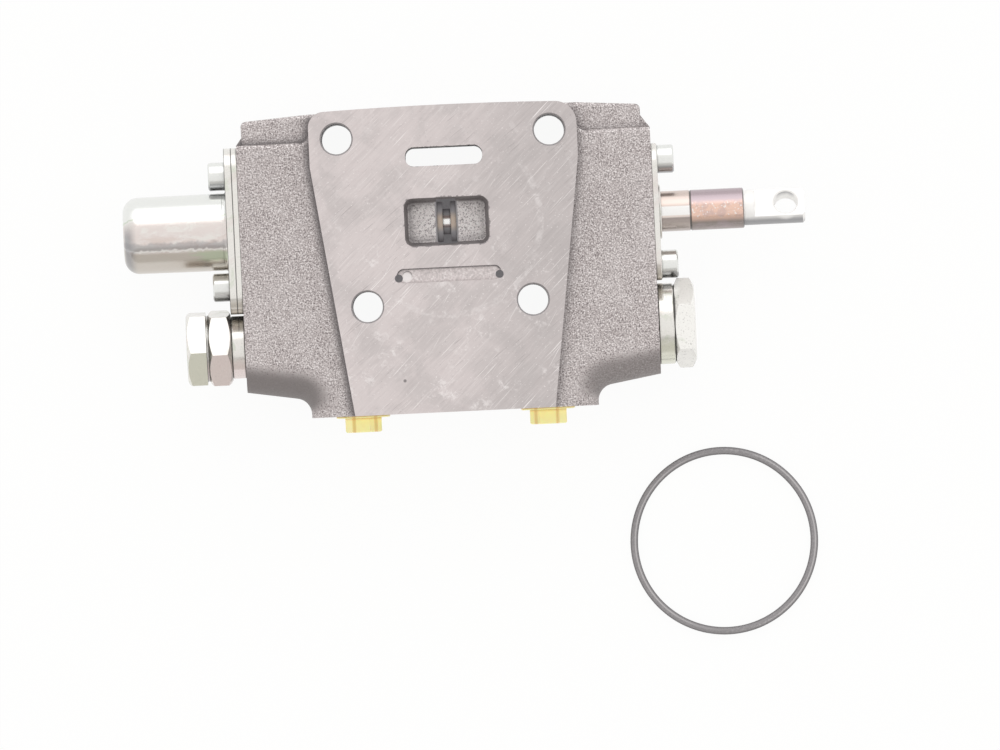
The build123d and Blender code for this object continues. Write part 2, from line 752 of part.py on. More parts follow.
def relief_cap_washer():
    outer = hex_left / 2 * hex_land
    return ring(outer, relief_cap_stub_radius, relief_head - relief_washer, relief_head, relief_y)


def relief_nose_ring():
    """Seal ring round the cartridge's nose, beside its thread."""
    wire = (relief_chamber_radius - relief_nose_radius) / 2 - soft_gap / 2
    middle = (relief_chamber_radius + relief_nose_radius) / 2
    place = Pos(relief_chamber_start + wire + seat_gap, relief_y, axis_height) * Rot(0, 90, 0)
    return place * Torus(middle, wire)


def check_plug():
    """Hexagon plug that carries the check valve's poppet and spring."""
    y = check_y
    face = body_half_length
    thread = rod(check_thread_radius - fit_gap, check_chamber_end, face + seat_gap, y)
    collar = rod(check_collar_radius, face, face + check_collar, y)
    collar = chamfer([rim(collar, -1), rim(collar, 1)], land_chamfer)
    head_start = face + check_collar
    head = hexagon(hex_right, head_start - 0.01, head_start + check_hex, y, check_hex_turn, True, True)
    return thread + collar + head - rod(check_bore_radius, check_chamber_end - 1, check_bore_end, y)


def check_poppet():
    """Cup poppet: cone on the body's seat, skirt guided in the plug, orifice in its nose."""
    y = check_y
    start = check_seat_x + seat_gap
    end = check_chamber_end + check_guide
    skirt = rod(check_bore_radius - fit_gap, start, end, y)
    skirt = chamfer(rim(skirt, -1), check_poppet_chamfer)
    tip = Pos(0, y, 0) * along_x(start - check_nose) * Cone(
        check_seat_radius - 2 * check_nose, check_seat_radius - check_nose / 2, check_nose + seat_gap,
        align=(Align.CENTER, Align.CENTER, Align.MIN))
    hollow = rod(check_bore_radius - check_poppet_wall, start + check_poppet_floor, end + 1, y)
    return skirt + tip - hollow - rod(check_orifice_radius, start - 2 * check_nose, end, y)


def check_spring():
    seat = check_seat_x + seat_gap + check_poppet_floor
    return spring(check_spring_mean, check_spring_wire, check_spring_turns, seat, check_bore_end,
                  check_y)


def port_plug(side, turn):
    """Plastic shipping plug: hollow threaded stem, thin flange on the spot face and hexagon head."""
    x = side * port_x
    seat = port_side + port_spot_depth
    low = seat - plug_flange
    flange = upright(plug_flange_radius, low, seat, x)
    flange = chamfer(flange.edges().filter_by(GeomType.CIRCLE).sort_by(Axis.Y)[0], plug_flange_edge)
    stem = upright(port_thread_radius - fit_gap, seat - seat_gap, seat + plug_thread, x)
    hollow = upright(port_thread_radius - plug_wall, seat + plug_floor, seat + plug_thread + 1, x)
    profile = Rot(0, 0, turn) * RegularPolygon(plug_hex / math.sqrt(3), 6)
    head = Pos(x, low + seat_gap, axis_height) * Rot(90, 0, 0) * extrude(profile, plug_head + seat_gap)
    head = chamfer(head.faces().sort_by(Axis.Y)[0].edges(), plug_head_edge)
    return flange + stem - hollow + head


def section_ring():
    """Seal ring for the joint between two sections, lying beside the section."""
    x, y = ring_place
    return Pos(x, y, ring_section / 2) * Torus((ring_inner + ring_section) / 2, ring_section / 2)


nodes = {
    "valve_body": valve_body(),
    "spool": spool(),
    "left_seal_plate": left_seal_plate(),
    "right_seal_plate": right_seal_plate(),
    "spring_cap": spring_cap(),
    "cap_screws": cap_screws(),
    "plate_screws": plate_screws(),
    "left_spool_seal": spool_seal(-1),
    "right_spool_seal": spool_seal(1),
    "centring_collar": centring_collar(),
    "tail_screw": tail_screw(),
    "inner_centring_spring": inner_centring_spring(),
    "outer_centring_spring": outer_centring_spring(),
    "relief_cartridge": relief_cartridge(),
    "relief_poppet": relief_poppet(),
    "relief_spring": relief_spring(),
    "relief_adjuster": relief_adjuster(),
    "relief_cap": relief_cap(),
    "relief_cap_washer": relief_cap_washer(),
    "relief_nose_ring": relief_nose_ring(),
    "check_plug": check_plug(),
    "check_poppet": check_poppet(),
    "check_spring": check_spring(),
    "left_port_plug": port_plug(-1, 9.0),
    "right_port_plug": port_plug(1, 0.0),
    "section_ring": section_ring(),
}

os.makedirs("parts", exist_ok=True)
for name, shape in nodes.items():
    solid = Compound(children=shape) if isinstance(shape, list) else shape
    export_step(solid, f"parts/{name}.step")
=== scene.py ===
import math

import bpy
from bpy.props import FloatProperty, FloatVectorProperty, PointerProperty
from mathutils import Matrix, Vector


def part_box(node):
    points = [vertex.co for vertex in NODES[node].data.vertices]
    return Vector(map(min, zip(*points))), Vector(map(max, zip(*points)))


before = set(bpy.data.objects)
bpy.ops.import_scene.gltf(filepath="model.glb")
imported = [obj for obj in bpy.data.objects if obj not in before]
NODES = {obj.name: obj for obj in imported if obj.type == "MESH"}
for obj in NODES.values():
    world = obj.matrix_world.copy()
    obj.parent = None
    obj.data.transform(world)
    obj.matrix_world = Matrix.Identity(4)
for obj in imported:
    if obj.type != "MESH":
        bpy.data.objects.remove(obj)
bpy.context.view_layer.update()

bl_info = {
    "name": "Hydraulic Valve Section",
    "version": (1, 0, 0),
    "blender": (4, 5, 0),
    "location": "View3D > Sidebar > Valve Section",
    "description": "Finishes of a sectional control valve, piece by piece, and its studio",
    "category": "Object",
}

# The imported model, measured before anything is added. X runs along the spool and +Y away from the
# work ports, the rear mating face lies on z = 0, and lengths are in metres.
MM = 0.001
BODY_LOW, BODY_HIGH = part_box("valve_body")
SPOOL_LOW, SPOOL_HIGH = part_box("spool")
AXIS_HEIGHT = (SPOOL_LOW.z + SPOOL_HIGH.z) / 2
CAP_LOW, CAP_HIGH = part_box("spring_cap")
RELIEF_LOW, RELIEF_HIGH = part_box("relief_cap")
CHECK_LOW, CHECK_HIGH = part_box("check_plug")
RING_LOW, RING_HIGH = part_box("section_ring")
RELIEF_Y = (RELIEF_LOW.y + RELIEF_HIGH.y) / 2
CHECK_Y = (CHECK_LOW.y + CHECK_HIGH.y) / 2

# The casting's materials, in the order in which its polygons count them.
SKIN, GROUND, MILLED, GROOVE, WALL, BORE, POCKET, CAVITY = range(8)
LEVEL = 0.999            # part of a normal along an axis, from which a face counts as square to it
UPRIGHT = 0.6            # part of a normal along Z, below which a face counts as a wall
SHEER = 0.05             # the same for the notch's walls, which stand square
TOUCH = 0.02 * MM        # how near a face lies to the body's box when it is one of its sides

# Places on the casting's faces, at +X and -X alike. A half is measured from the middle, and the
# depths reach a little past the floors.
ROD_HOLES = ((36.75 * MM, 30.0 * MM), (28.6 * MM, -28.3 * MM))
ROD_HOLE_REACH = 6.0 * MM
WINDOW_HALF_X, WINDOW_HALF_Y, WINDOW_DEPTH = 15.5 * MM, 9.5 * MM, 8.1 * MM
NOTCH_HALF = 3.5 * MM
SLOT_HALF_X, SLOT_HALF_Y, SLOT_Y = 15.0 * MM, 5.0 * MM, 22.6 * MM
GROOVE_HALF, GROOVE_Y, GROOVE_DEPTH = 18.5 * MM, -18.3 * MM, 2.1 * MM
GROOVE_END, GROOVE_REACH = 20.5 * MM, 3.5 * MM
STEP_HALF, STEP_DEPTH = 52.0 * MM, 5.0 * MM

# Mouths with chipped edges, as half sizes along X and Y, and the radius of their corners.
WINDOW_MOUTH, SLOT_MOUTH, MOUTH_CORNER = (14.6 * MM, 8.3 * MM), (13.3 * MM, 3.3 * MM), 3.0 * MM

# Round spots seen along Z, as X, Y and radius. The tongue's is its hole and the rim round it.
DRILLED_SPOT = (-14.6 * MM, -18.8 * MM, 1.7 * MM)
NICK = (-16.9 * MM, -54.4 * MM, 0.55 * MM)
TONGUE_HOLE = (117.3 * MM, 0.0, 4.35 * MM)

# Places on the other pieces.
NECK_HALF, LANDS_HALF = 1.35 * MM, 4.0 * MM          # the spool's neck and the lands beside it
CAP_FLANGE = 2.5 * MM                                # thickness of the spring cap's flange
HEX_START = BODY_HIGH.x + 5.3 * MM                   # where the check plug's hexagon begins
PLUG_X = 32.0 * MM                                   # the port plugs' axes, at +X and -X
PLUG_RIDGES = (-4.3 * MM, 3.2 * MM)                  # shaded lines, from a plug's axis outwards


def tone(red, green, blue):
    """A linear colour from the usual 0 to 255 steps."""
    steps = (red / 255, green / 255, blue / 255)
    return tuple(s / 12.92 if s <= 0.04045 else ((s + 0.055) / 1.055) ** 2.4 for s in steps)


def light_property(name, description, light):
    """A colour written as linear light."""
    return FloatVectorProperty(name=name, description=description, default=light, size=3,
                               min=0.0, max=1.0, subtype="COLOR")


def colour_property(name, description, steps):
    """A colour written in the usual 0 to 255 steps."""
    return light_property(name, description, tone(*steps))


def length_property(name, description, length):
    return FloatProperty(name=name, description=description, default=length, min=0.0, precision=5,
                         unit="LENGTH", subtype="DISTANCE")


def turn_property(name, description, degrees):
    return FloatProperty(name=name, description=description, default=math.radians(degrees),
                         subtype="ANGLE")


def share_property(name, description, share):
    return FloatProperty(name=name, description=description, default=share, min=0.0, max=1.0,
                         subtype="FACTOR")


class CastingLooks(bpy.types.PropertyGroup):
    """Colours and grain of the iron casting."""
    ground: colour_property("Ground face", "Iron of the two ground mating faces", (216, 207, 206))
    cloud: colour_property("Ground face, grey", "Clouds of the ground faces", (186, 180, 179))
    rubbed: colour_property("Rub marks", "Bright scratches and rub marks", (244, 239, 238))
    scored: colour_property("Grinding lines", "Dark hairlines of the grinding", (150, 142, 142))
    skin: colour_property("Cast skin", "Middle tone of the rough skin", (186, 177, 176))
    skin_low: colour_property("Cast hollows", "Hollows between the grains", (112, 105, 105))
    skin_high: colour_property("Cast peaks", "Bright tips of the grains", (250, 245, 244))
    # painted shade: the smoother, darker skin where the casting faces the ports
    ports_side_shade: colour_property("Cast rounding", "Smoother skin that faces the ports", (130, 124, 123))
    # painted light: the window floor's skin is brightened to make up for the shade in the pocket
    lit_pocket: colour_property("Window floor", "Brighter cast skin in the windows", (228, 221, 220))
    pocket_low: colour_property("Window hollows", "Hollows of that skin", (122, 117, 118))
    pocket_high: colour_property("Window peaks", "Bright tips of that skin", (255, 253, 251))
    cavity: colour_property("Passages", "Walls deep inside the passages", (150, 148, 150))
    cavity_glow: colour_property("Passages, light", "Light inside the passages", (88, 87, 88))
    milled: colour_property("Milled iron", "Milled seats and lips", (205, 200, 199))
    # painted shade: the dark grey of the window's and step's walls, of corners and of the mouths'
    # edges; also the colour of the nick
    shade_and_nicks: colour_property("Walls", "Walls of the window and of the face's step", (120, 115, 116))
    bore: colour_property("Bores", "Walls of the drilled and cored holes", (158, 154, 155))
    grain: length_property("Grain", "Size of the sand grains in the skin", 0.52 * MM)
    grain_depth: length_property("Grain depth", "Height of the grains", 0.16 * MM)
    line_turn: turn_property("Grinding direction", "Turn of the lines from the spool's axis", 43.0)
    line_gap: length_property("Grinding pitch", "Width of the grinding lines", 0.36 * MM)
    print_radius: length_property("Ring print", "Radius of the seal ring's print", 32.4 * MM)
    print_width: length_property("Ring print width", "Width of that print", 1.6 * MM)


class MetalLooks(bpy.types.PropertyGroup):
    """Colours and gloss of the steel pieces."""
    zinc: colour_property("Zinc plate", "Plated caps, plates and hexagons", (236, 234, 229))
    # painted shade on the zinc plate's side that faces the ports
    zinc_shade: colour_property("Zinc plate, ports' side", "Plate that faces the ports",
                              (202, 195, 186))
    # also a green painted reflection line on the spring cap
    zinc_green: colour_property("Zinc, green tint", "Greenish patches of the plate",
                                (192, 206, 178))
    zinc_pink: colour_property("Zinc, warm tint", "Warm patches of the plate", (230, 221, 217))
    # painted shade: olive on the relief cap's and check collar's side that faces the ports
    zinc_olive_shade: colour_property("Zinc, olive tint", "Olive side of the relief cap", (222, 222, 206))
    # painted shade: rose on the cartridge's side that faces the ports
    zinc_rose_shade: colour_property("Zinc, rose tint", "Rose side of the cartridge", (230, 215, 212))
    zinc_white: colour_property("Zinc, white", "Plate of the check valve's hexagon",
                                (250, 249, 245))
    # also the white painted highlight on the spring cap's shoulder
    screw: colour_property("Screws", "Plated socket head screws", (236, 237, 234))
    spool: colour_property("Spool", "Ground spool steel", (238, 226, 219))
    # warm painted reflection on the spool's upper side and the spring cap's crown
    warm_reflection: colour_property("Spool, upper side", "Warm side away from the ports",
                                (218, 202, 194))
    # painted shade on the spool's side that faces the ports
    spool_shade: colour_property("Spool, ports' side", "Steel that faces the ports", (182, 172, 168))
    land: colour_property("Spool lands", "Matt lands seen through the window", (206, 204, 206))
    # painted highlight on top of the lands
    land_highlight: colour_property("Spool lands, top", "Top of those lands", (244, 226, 208))
    # also the white of painted highlight lines on the spool and the spring cap
    tongue: colour_property("Tongue", "Milled end of the spool", (250, 249, 247))
    tint_edge: colour_property("Heat tint, upper side", "Violet side of the tinted band",
                               (184, 169, 174))
    tint_middle: colour_property("Heat tint, middle", "Copper in the tinted band", (240, 205, 188))
    # painted shade on the tinted band's side that faces the ports
    tint_shade: colour_property("Heat tint, ports' side", "Grey brown side of the tinted band",
                              (158, 149, 145))
    inner: colour_property("Inner steel", "Poppets, collar and adjuster", (190, 188, 186))
    # also the grey of painted shade on the tongue, spring cap and screws, and of a painted
    # reflection line on the cap
    wire: colour_property("Spring wire", "Drawn spring wire", (150, 150, 153))
    # dark lines at the joints, and painted shade in the corners of the steel pieces
    gap: colour_property("Gaps", "Dark lines in gaps and corners of the steel pieces", (96, 94, 92))
    gloss: share_property("Plate roughness", "Roughness of the zinc plate", 0.2)
    tint_start: length_property("Tint start", "Where the tinted band starts along X", 84.4 * MM)
    tint_end: length_property("Tint end", "Where the tinted band ends along X", 102.8 * MM)


class SoftLooks(bpy.types.PropertyGroup):
    """Colours of the rubber and plastic pieces."""
    rubber: colour_property("Rubber", "Seal rubber", (60, 60, 63))
    ring: colour_property("Seal ring", "Weathered grey of the loose ring", (141, 138, 140))
    # painted shade on the sides of the ring's tube
    ring_rim_shade: colour_property("Seal ring, sides", "Darker sides of that ring", (108, 105, 107))
    # painted highlight along the ring, also the pale of its dust
    ring_highlight_and_dust: colour_property("Seal ring, streaks", "Pale streaks along it", (196, 193, 193))
    dust: colour_property("Dust", "Pale dust on the rubber", (118, 118, 120))
    plug: colour_property("Port plug", "Yellow of the shipping plugs", (255, 246, 176))
    plug_glow: colour_property("Port plug, glow", "Light that shines through it", (92, 86, 54))
    # orange painted shade in the plugs' corners and along their ridges
    plug_shade: colour_property("Port plug, deep", "Orange of thick plastic", (206, 152, 66))


class Studio(bpy.types.PropertyGroup):
    """Floor, light and camera."""
    floor: light_property("Floor", "Colour of the floor", (0.93, 0.93, 0.925))
    floor_white: light_property("Floor white", "White that the floor shows as", (1.0, 1.0, 0.996))
    floor_glow: share_property("Floor brightness", "How far the floor shows that white", 0.94)
    floor_half: length_property("Floor size", "Half the floor's width", 30.0)
    camera_height: length_property("Camera height", "Camera above the floor", 5.8)
    camera_x: length_property("Camera X", "Point of the floor under the camera", 0.0159)
    camera_y: FloatProperty(name="Camera Y", description="Point of the floor under the camera",
                            default=-0.0539, unit="LENGTH", subtype="DISTANCE", precision=5)
    camera_turn: turn_property("Camera turn", "Turn of the picture about the view", -2.68)
    camera_reach: length_property("Camera reach", "How far the camera sees", 100.0)
    lens: FloatProperty(name="Lens", description="Focal length", default=601.3, min=1.0,
                        unit="CAMERA")
    sky_strength: FloatProperty(name="Surroundings", description="Strength of the surroundings",
                                default=1.25, min=0.0)
    sun_strength: FloatProperty(name="Key light", description="Strength of the soft key light",
                                default=0.4, min=0.0)
    sun_spread: turn_property("Key light spread", "Width of the key light in the sky", 60.0)
    sun_turn: turn_property("Key light turn", "Tilt of the key light about X", -62.0)


GROUPS = {"casting_looks": CastingLooks, "metal_looks": MetalLooks, "soft_looks": SoftLooks,
          "studio": Studio}


def fill_ramp(ramp, stops):
    """Gives a new colour ramp its stops, which are (place, colour) pairs in order."""
    for spot, colour in stops[1:-1]:
        ramp.elements.new(spot).color = (*colour[:3], 1.0)
    for index, (spot, colour) in ((0, stops[0]), (len(stops) - 1, stops[-1])):
        ramp.elements[index].position = spot
        ramp.elements[index].color = (*colour[:3], 1.0)


class Finish:
    """One procedural material, built node by node. Places are in the part's own frame.

    The base colour is laid coat by coat, and set() hands it to the shader at the end.
    """

    def __init__(self, name):
        self.material = bpy.data.materials.new(name)
        self.material.use_nodes = True
        self.nodes = self.material.node_tree.nodes
        self.links = self.material.node_tree.links
        self.shader = self.nodes["Principled BSDF"]
        self.place = self.node("TexCoord").outputs["Object"]
        parts = self.node("SeparateXYZ", {"Vector": self.place}).outputs
        self.x, self.y, self.z = parts[0], parts[1], parts[2]
        self.base = None

    def node(self, kind, inputs=None, **settings):
        """Adds a node, with values or sockets for its inputs."""
        made = self.nodes.new("ShaderNode" + kind)
        for name, value in settings.items():
            setattr(made, name, value)
        for socket, value in (inputs or {}).items():
            self.feed(made.inputs[socket], value)
        return made

    def feed(self, socket, value):
        """Links a socket or sets a value, a colour with full alpha."""
        if isinstance(value, bpy.types.NodeSocket):
            self.links.new(value, socket)
        elif hasattr(socket.default_value, "__len__") and len(socket.default_value) == 4:
            socket.default_value = (*value[:3], 1.0)
        else:
            socket.default_value = value

    def set(self, **inputs):
        """Feeds the shader: its base colour, and emission_color as the socket Emission Color."""
        for name, value in {"base_color": self.base, **inputs}.items():
            self.feed(self.shader.inputs[name.replace("_", " ").title()], value)
        return self.material

    def math(self, operation, *values):
        return self.node("Math", dict(enumerate(values)), operation=operation).outputs[0]

    def times(self, first, second):
        return self.math("MULTIPLY", first, second)

    def plus(self, first, second):
        return self.math("ADD", first, second)

    def minus(self, first, second):
        return self.math("SUBTRACT", first, second)

    def magnitude(self, value):
        return self.math("ABSOLUTE", value)

    def highest(self, first, second):
        return self.math("MAXIMUM", first, second)

    def slant(self, first, second):
        """Length of the slant side over two sides at right angles."""
        return self.math("SQRT", self.plus(self.times(first, first), self.times(second, second)))

    def range(self, value, low, high, to_low=0.0, to_high=1.0):
        """Runs smoothly from to_low to to_high as the value goes from low to high."""
        inputs = {"Value": value, "From Min": low, "From Max": high,
                  "To Min": to_low, "To Max": to_high}
        return self.node("MapRange", inputs, interpolation_type="SMOOTHSTEP").outputs[0]

    def noise(self, size, detail=3.0, rough=0.5, where=None, bend=0.0):
        """Noise around 0.5 whose patches are about as wide as size."""
        inputs = {"Vector": where or self.place, "Scale": 1 / size, "Detail": detail,
                  "Roughness": rough, "Distortion": bend}
        return self.node("TexNoise", inputs).outputs[0]

    def stretched(self, turn, along):
        """Places turned about Z and squeezed along X, so that a noise draws lines."""
        inputs = {"Vector": self.place, "Rotation": (0.0, 0.0, -turn)}
        turned = self.node("Mapping", inputs).outputs[0]
        return self.node("Mapping", {"Vector": turned, "Scale": (1 / along, 1.0, 1.0)}).outputs[0]

    def shades(self, value, *stops):
        """Colours along a value."""
        made = self.node("ValToRGB", {"Fac": value})
        fill_ramp(made.color_ramp, stops)
        return made.outputs[0]

    def mix(self, share, first, second):
        """The first colour where the share is 0, the second where it is 1."""
        made = self.node("Mix", data_type="RGBA")
        sockets = {socket.identifier: socket for socket in made.inputs}
        self.feed(sockets["Factor_Float"], share)
        self.feed(sockets["A_Color"], first)
        self.feed(sockets["B_Color"], second)
        return next(out for out in made.outputs if out.identifier == "Result_Color")

    def coat(self, mask, colour, strength=None):
        """Lays a colour over the base colour, fully where the mask is 1, or less by a strength."""
        share = mask if strength is None else self.times(mask, strength)
        self.base = self.mix(share, self.base, colour)

    def corner_shade(self, colour, strength=0.85, reach=1.0 * MM, start=0.9, full=0.4):
        """Lays a colour as painted shade into corners and gaps, from openness start on and fully at
        full.
        """
        self.coat(self.range(self.corners(reach), start, full), colour, strength)

    def bump(self, height, depth):
        """A relief whose height of 1 stands depth proud."""
        inputs = {"Height": height, "Distance": depth, "Strength": 1.0}
        return self.node("Bump", inputs).outputs[0]

    def corners(self, reach):
        """1 on open surfaces, less in corners nearer than reach to another surface."""
        return self.node("AmbientOcclusion", {"Distance": reach}, samples=6).outputs["AO"]

    def rounded(self, radius, relief):
        """A relief seen as if each edge had a small radius."""
        return self.node("Bevel", {"Radius": radius, "Normal": relief}, samples=4).outputs[0]

    def from_axis(self, y):
        """Distance from a line along X at the spool's height."""
        return self.slant(self.minus(self.y, y), self.minus(self.z, AXIS_HEIGHT))

    def round_axis(self, y):
        """Turn about such a line: 0 at the top, positive towards -Y."""
        return self.math("ARCTAN2", self.minus(y, self.y), self.minus(self.z, AXIS_HEIGHT))

    def along_axis(self, second):
        """Places given by X and by a second value, for marks that run round a turned piece."""
        return self.node("CombineXYZ", {0: self.x, 1: second, 2: 0.0}).outputs[0]

    def spot(self, x, y, radius):
        """1 inside a small round place seen along Z, 0 outside it."""
        away = self.slant(self.minus(self.x, x), self.minus(self.y, y))
        return self.range(away, radius * 1.2, radius * 0.8)

    def facing(self, axis):
        """How far a surface faces towards -X (axis 0) or -Y (axis 1), from -1 to 1."""
        normal = self.node("TexCoord").outputs["Normal"]
        across = self.node("SeparateXYZ", {"Vector": normal}).outputs[axis]
        return self.times(across, -1.0)

    def faces_ports(self, start, end, stir=0.5):
        """0 to 1 as a surface turns towards -Y, stirred by a noise."""
        stirred = self.plus(self.facing(1), self.minus(stir, 0.5))
        return self.range(stirred, start, end)

    def outline(self, half_x, half_y, middle_y):
        """Distance outside a mouth with round corners, seen along Z."""
        across = self.minus(self.magnitude(self.x), half_x - MOUTH_CORNER)
        along = self.magnitude(self.minus(self.y, middle_y))
        along = self.minus(along, half_y - MOUTH_CORNER)
        away = self.slant(self.highest(across, 0.0), self.highest(along, 0.0))
        return self.minus(away, MOUTH_CORNER)

    def band(self, value, middle, half, soft):
        """1 where the value lies within half of middle, falling to 0 over soft."""
        away = self.magnitude(self.minus(value, middle))
        return self.range(away, half + soft, half)


def paint(node, *materials):
    """Gives a CAD node its materials, the first one everywhere."""
    slots = NODES[node].data.materials
    slots.clear()
    for material in materials:
        slots.append(material)


def sort_surfaces(node, zone):
    """Hands each polygon of a node to one of its materials."""
    mesh = NODES[node].data
    for polygon in mesh.polygons:
        polygon.material_index = zone(polygon.center, polygon.normal)


def ground_iron(looks):
    """Ground mating face: soft clouds, bright scratches, rub marks and the ring's print."""
    f = Finish("ground_iron")
    # clouds, and the soft grain of the grinding
    clouds = f.noise(15 * MM, 4.0, 0.6, bend=0.6)
    streaks = f.noise(looks.line_gap * 2, 3.0, 0.6, f.stretched(looks.line_turn, 16.0))
    f.base = f.mix(f.range(clouds, 0.36, 0.60, 0.55, 1.0), looks.cloud, looks.ground)
    f.coat(f.range(f.x, -4 * MM, 34 * MM, 0.0, 0.6), looks.cloud)
    f.coat(f.range(streaks, 0.50, 0.32, 0.0, 0.10), looks.scored)
    f.coat(f.range(streaks, 0.52, 0.70, 0.0, 0.12), looks.rubbed)
    # single lines in three directions, denser in some places
    scratch = f.noise(looks.line_gap, 2.0, 0.5, f.stretched(looks.line_turn + 0.03, 55.0))
    steep = f.noise(looks.line_gap * 1.1, 2.0, 0.5, f.stretched(looks.line_turn + 0.27, 80.0))
    hair = f.noise(looks.line_gap * 0.9, 2.0, 0.5, f.stretched(looks.line_turn - 0.09, 40.0))
    groups = f.range(f.noise(11 * MM, 2.0), 0.36, 0.6, 0.15, 1.0)
    f.coat(f.range(hair, 0.34, 0.28, 0.0, 0.5), looks.scored, groups)
    f.coat(f.range(scratch, 0.65, 0.71, 0.0, 0.85), looks.rubbed, groups)
    f.coat(f.range(steep, 0.67, 0.73, 0.0, 0.7), looks.rubbed, groups)
    # rub marks, mostly on the ports' side, and specks
    marks = f.noise(2.6 * MM, 5.0, 0.72, bend=0.5)
    low = f.range(f.y, 4 * MM, -18 * MM, 0.3, 1.0)
    worn = f.times(f.range(f.noise(9 * MM, 3.0), 0.50, 0.64), low)
    worn = f.times(f.range(marks, 0.50, 0.62), worn)
    f.coat(worn, looks.rubbed, 0.55)
    speck = f.noise(0.7 * MM, 2.0, 0.6)
    f.coat(f.range(speck, 0.64, 0.72, 0.0, 0.55), looks.rubbed)
    f.coat(f.range(speck, 0.33, 0.26, 0.0, 0.35), looks.scored)
    # the seal ring's print, which shows towards +X and the ports
    radius = f.slant(f.x, f.y)
    ring = f.band(radius, looks.print_radius, looks.print_width * 0.4, looks.print_width * 0.5)
    ring = f.times(ring, f.range(marks, 0.40, 0.60))
    side = f.range(f.minus(f.x, f.y), -5 * MM, 22 * MM)
    f.coat(f.times(ring, side), looks.rubbed, 0.3)
    # crumbled edges of the window and the slot, darkened partly as chips and partly as painted
    # shade, and a nick in the face
    ragged = f.range(f.noise(1.5 * MM, 4.0, 0.75), 0.44, 0.66, -0.15 * MM, 0.55 * MM)
    window = f.minus(f.outline(*WINDOW_MOUTH, 0.0), ragged)
    slot = f.minus(f.outline(*SLOT_MOUTH, SLOT_Y), f.times(ragged, 0.5))
    chips_and_shade = f.range(f.math("MINIMUM", window, slot), 0.08 * MM, -0.08 * MM)
    f.coat(chips_and_shade, looks.shade_and_nicks, 0.8)
    f.coat(f.spot(*NICK), looks.shade_and_nicks, 0.8)
    relief = f.bump(streaks, 0.01 * MM)
    return f.set(metallic=0.6, roughness=0.42, normal=relief)


def cast_iron(name, looks, low, middle, high):
    """Sand cast skin: fine bright and dark grains, smoother, with painted shade where it faces the
    ports and in its corners.
    """
    f = Finish(name)
    grain = f.noise(looks.grain, 1.0, 0.5)
    fine = f.noise(looks.grain * 0.55, 1.0, 0.5)
    both = f.plus(f.times(grain, 0.6), f.times(fine, 0.4))
    f.base = f.shades(both, (0.36, low), (0.48, middle), (0.53, middle), (0.63, high))
    coarse = f.noise(8 * MM, 3.0, 0.55)
    f.coat(f.range(coarse, 0.42, 0.66, 0.0, 0.10), high)
    # painted shade where the skin faces the ports, a little less towards +X
    shaded_rounding = f.times(f.faces_ports(0.02, 0.46, both), f.range(f.x, -60 * MM, 60 * MM, 0.95, 0.78))
    f.coat(shaded_rounding, looks.ports_side_shade)
    # painted shade in the wall grey, in corners and at the foot of the face's step, stronger
    # towards -X
    deep = f.range(f.corners(3.4 * MM), 0.97, 0.58)
    corner_shade = f.times(deep, f.range(f.x, -30 * MM, 30 * MM, 1.0, 0.4))
    f.coat(corner_shade, looks.shade_and_nicks, 0.9)
    relief = f.bump(both, looks.grain_depth)
    return f.set(metallic=0.3, roughness=0.55, normal=relief)


def milled_iron(looks):
    """Milled end faces, port face and lips, with painted shade in their corners."""
    f = Finish("milled_iron")
    lines = f.noise(0.25 * MM, 3.0, 0.6, f.stretched(0.0, 12.0))
    f.base = f.mix(f.range(lines, 0.35, 0.65, 0.0, 0.35), looks.milled, looks.scored)
    # painted shade in corners
    f.corner_shade(looks.shade_and_nicks, 0.8, start=0.85)
    relief = f.bump(lines, 0.01 * MM)
    return f.set(metallic=0.7, roughness=0.36, normal=relief)


def groove_iron(looks):
    """Floor of the balance groove: pale, finely pitted, with painted shade along its upper edge and
    a bright spot at the drilled end.
    """
    f = Finish("groove_iron")
    pits = f.noise(0.7 * MM, 1.0, 0.5)
    f.base = f.shades(pits, (0.15, looks.cloud), (0.5, looks.ground), (0.85, looks.rubbed))
    # painted shade in the groove's corners, strongest along its upper edge
    upper = f.range(f.y, GROOVE_Y - 1.5 * MM, GROOVE_Y + 1.5 * MM, 0.15, 1.0)
    f.corner_shade(looks.shade_and_nicks, upper, 0.9 * MM, start=0.97, full=0.6)
    f.coat(f.spot(*DRILLED_SPOT), looks.rubbed)
    return f.set(metallic=0.5, roughness=0.45, normal=f.bump(pits, 0.03 * MM))


def rough_wall(name, colour, looks, glow=(0.0, 0.0, 0.0)):
    """Rough inner walls. The glow stands in for light that is thrown to and fro inside."""
    f = Finish(name)
    grain = f.noise(looks.grain, 2.0, 0.5)
    f.base = f.mix(f.range(grain, 0.38, 0.62, 0.0, 0.3), colour, looks.skin)
    relief = f.bump(grain, looks.grain_depth)
    return f.set(metallic=0.3, roughness=0.5, normal=relief, emission_color=glow,
                 emission_strength=1.0)


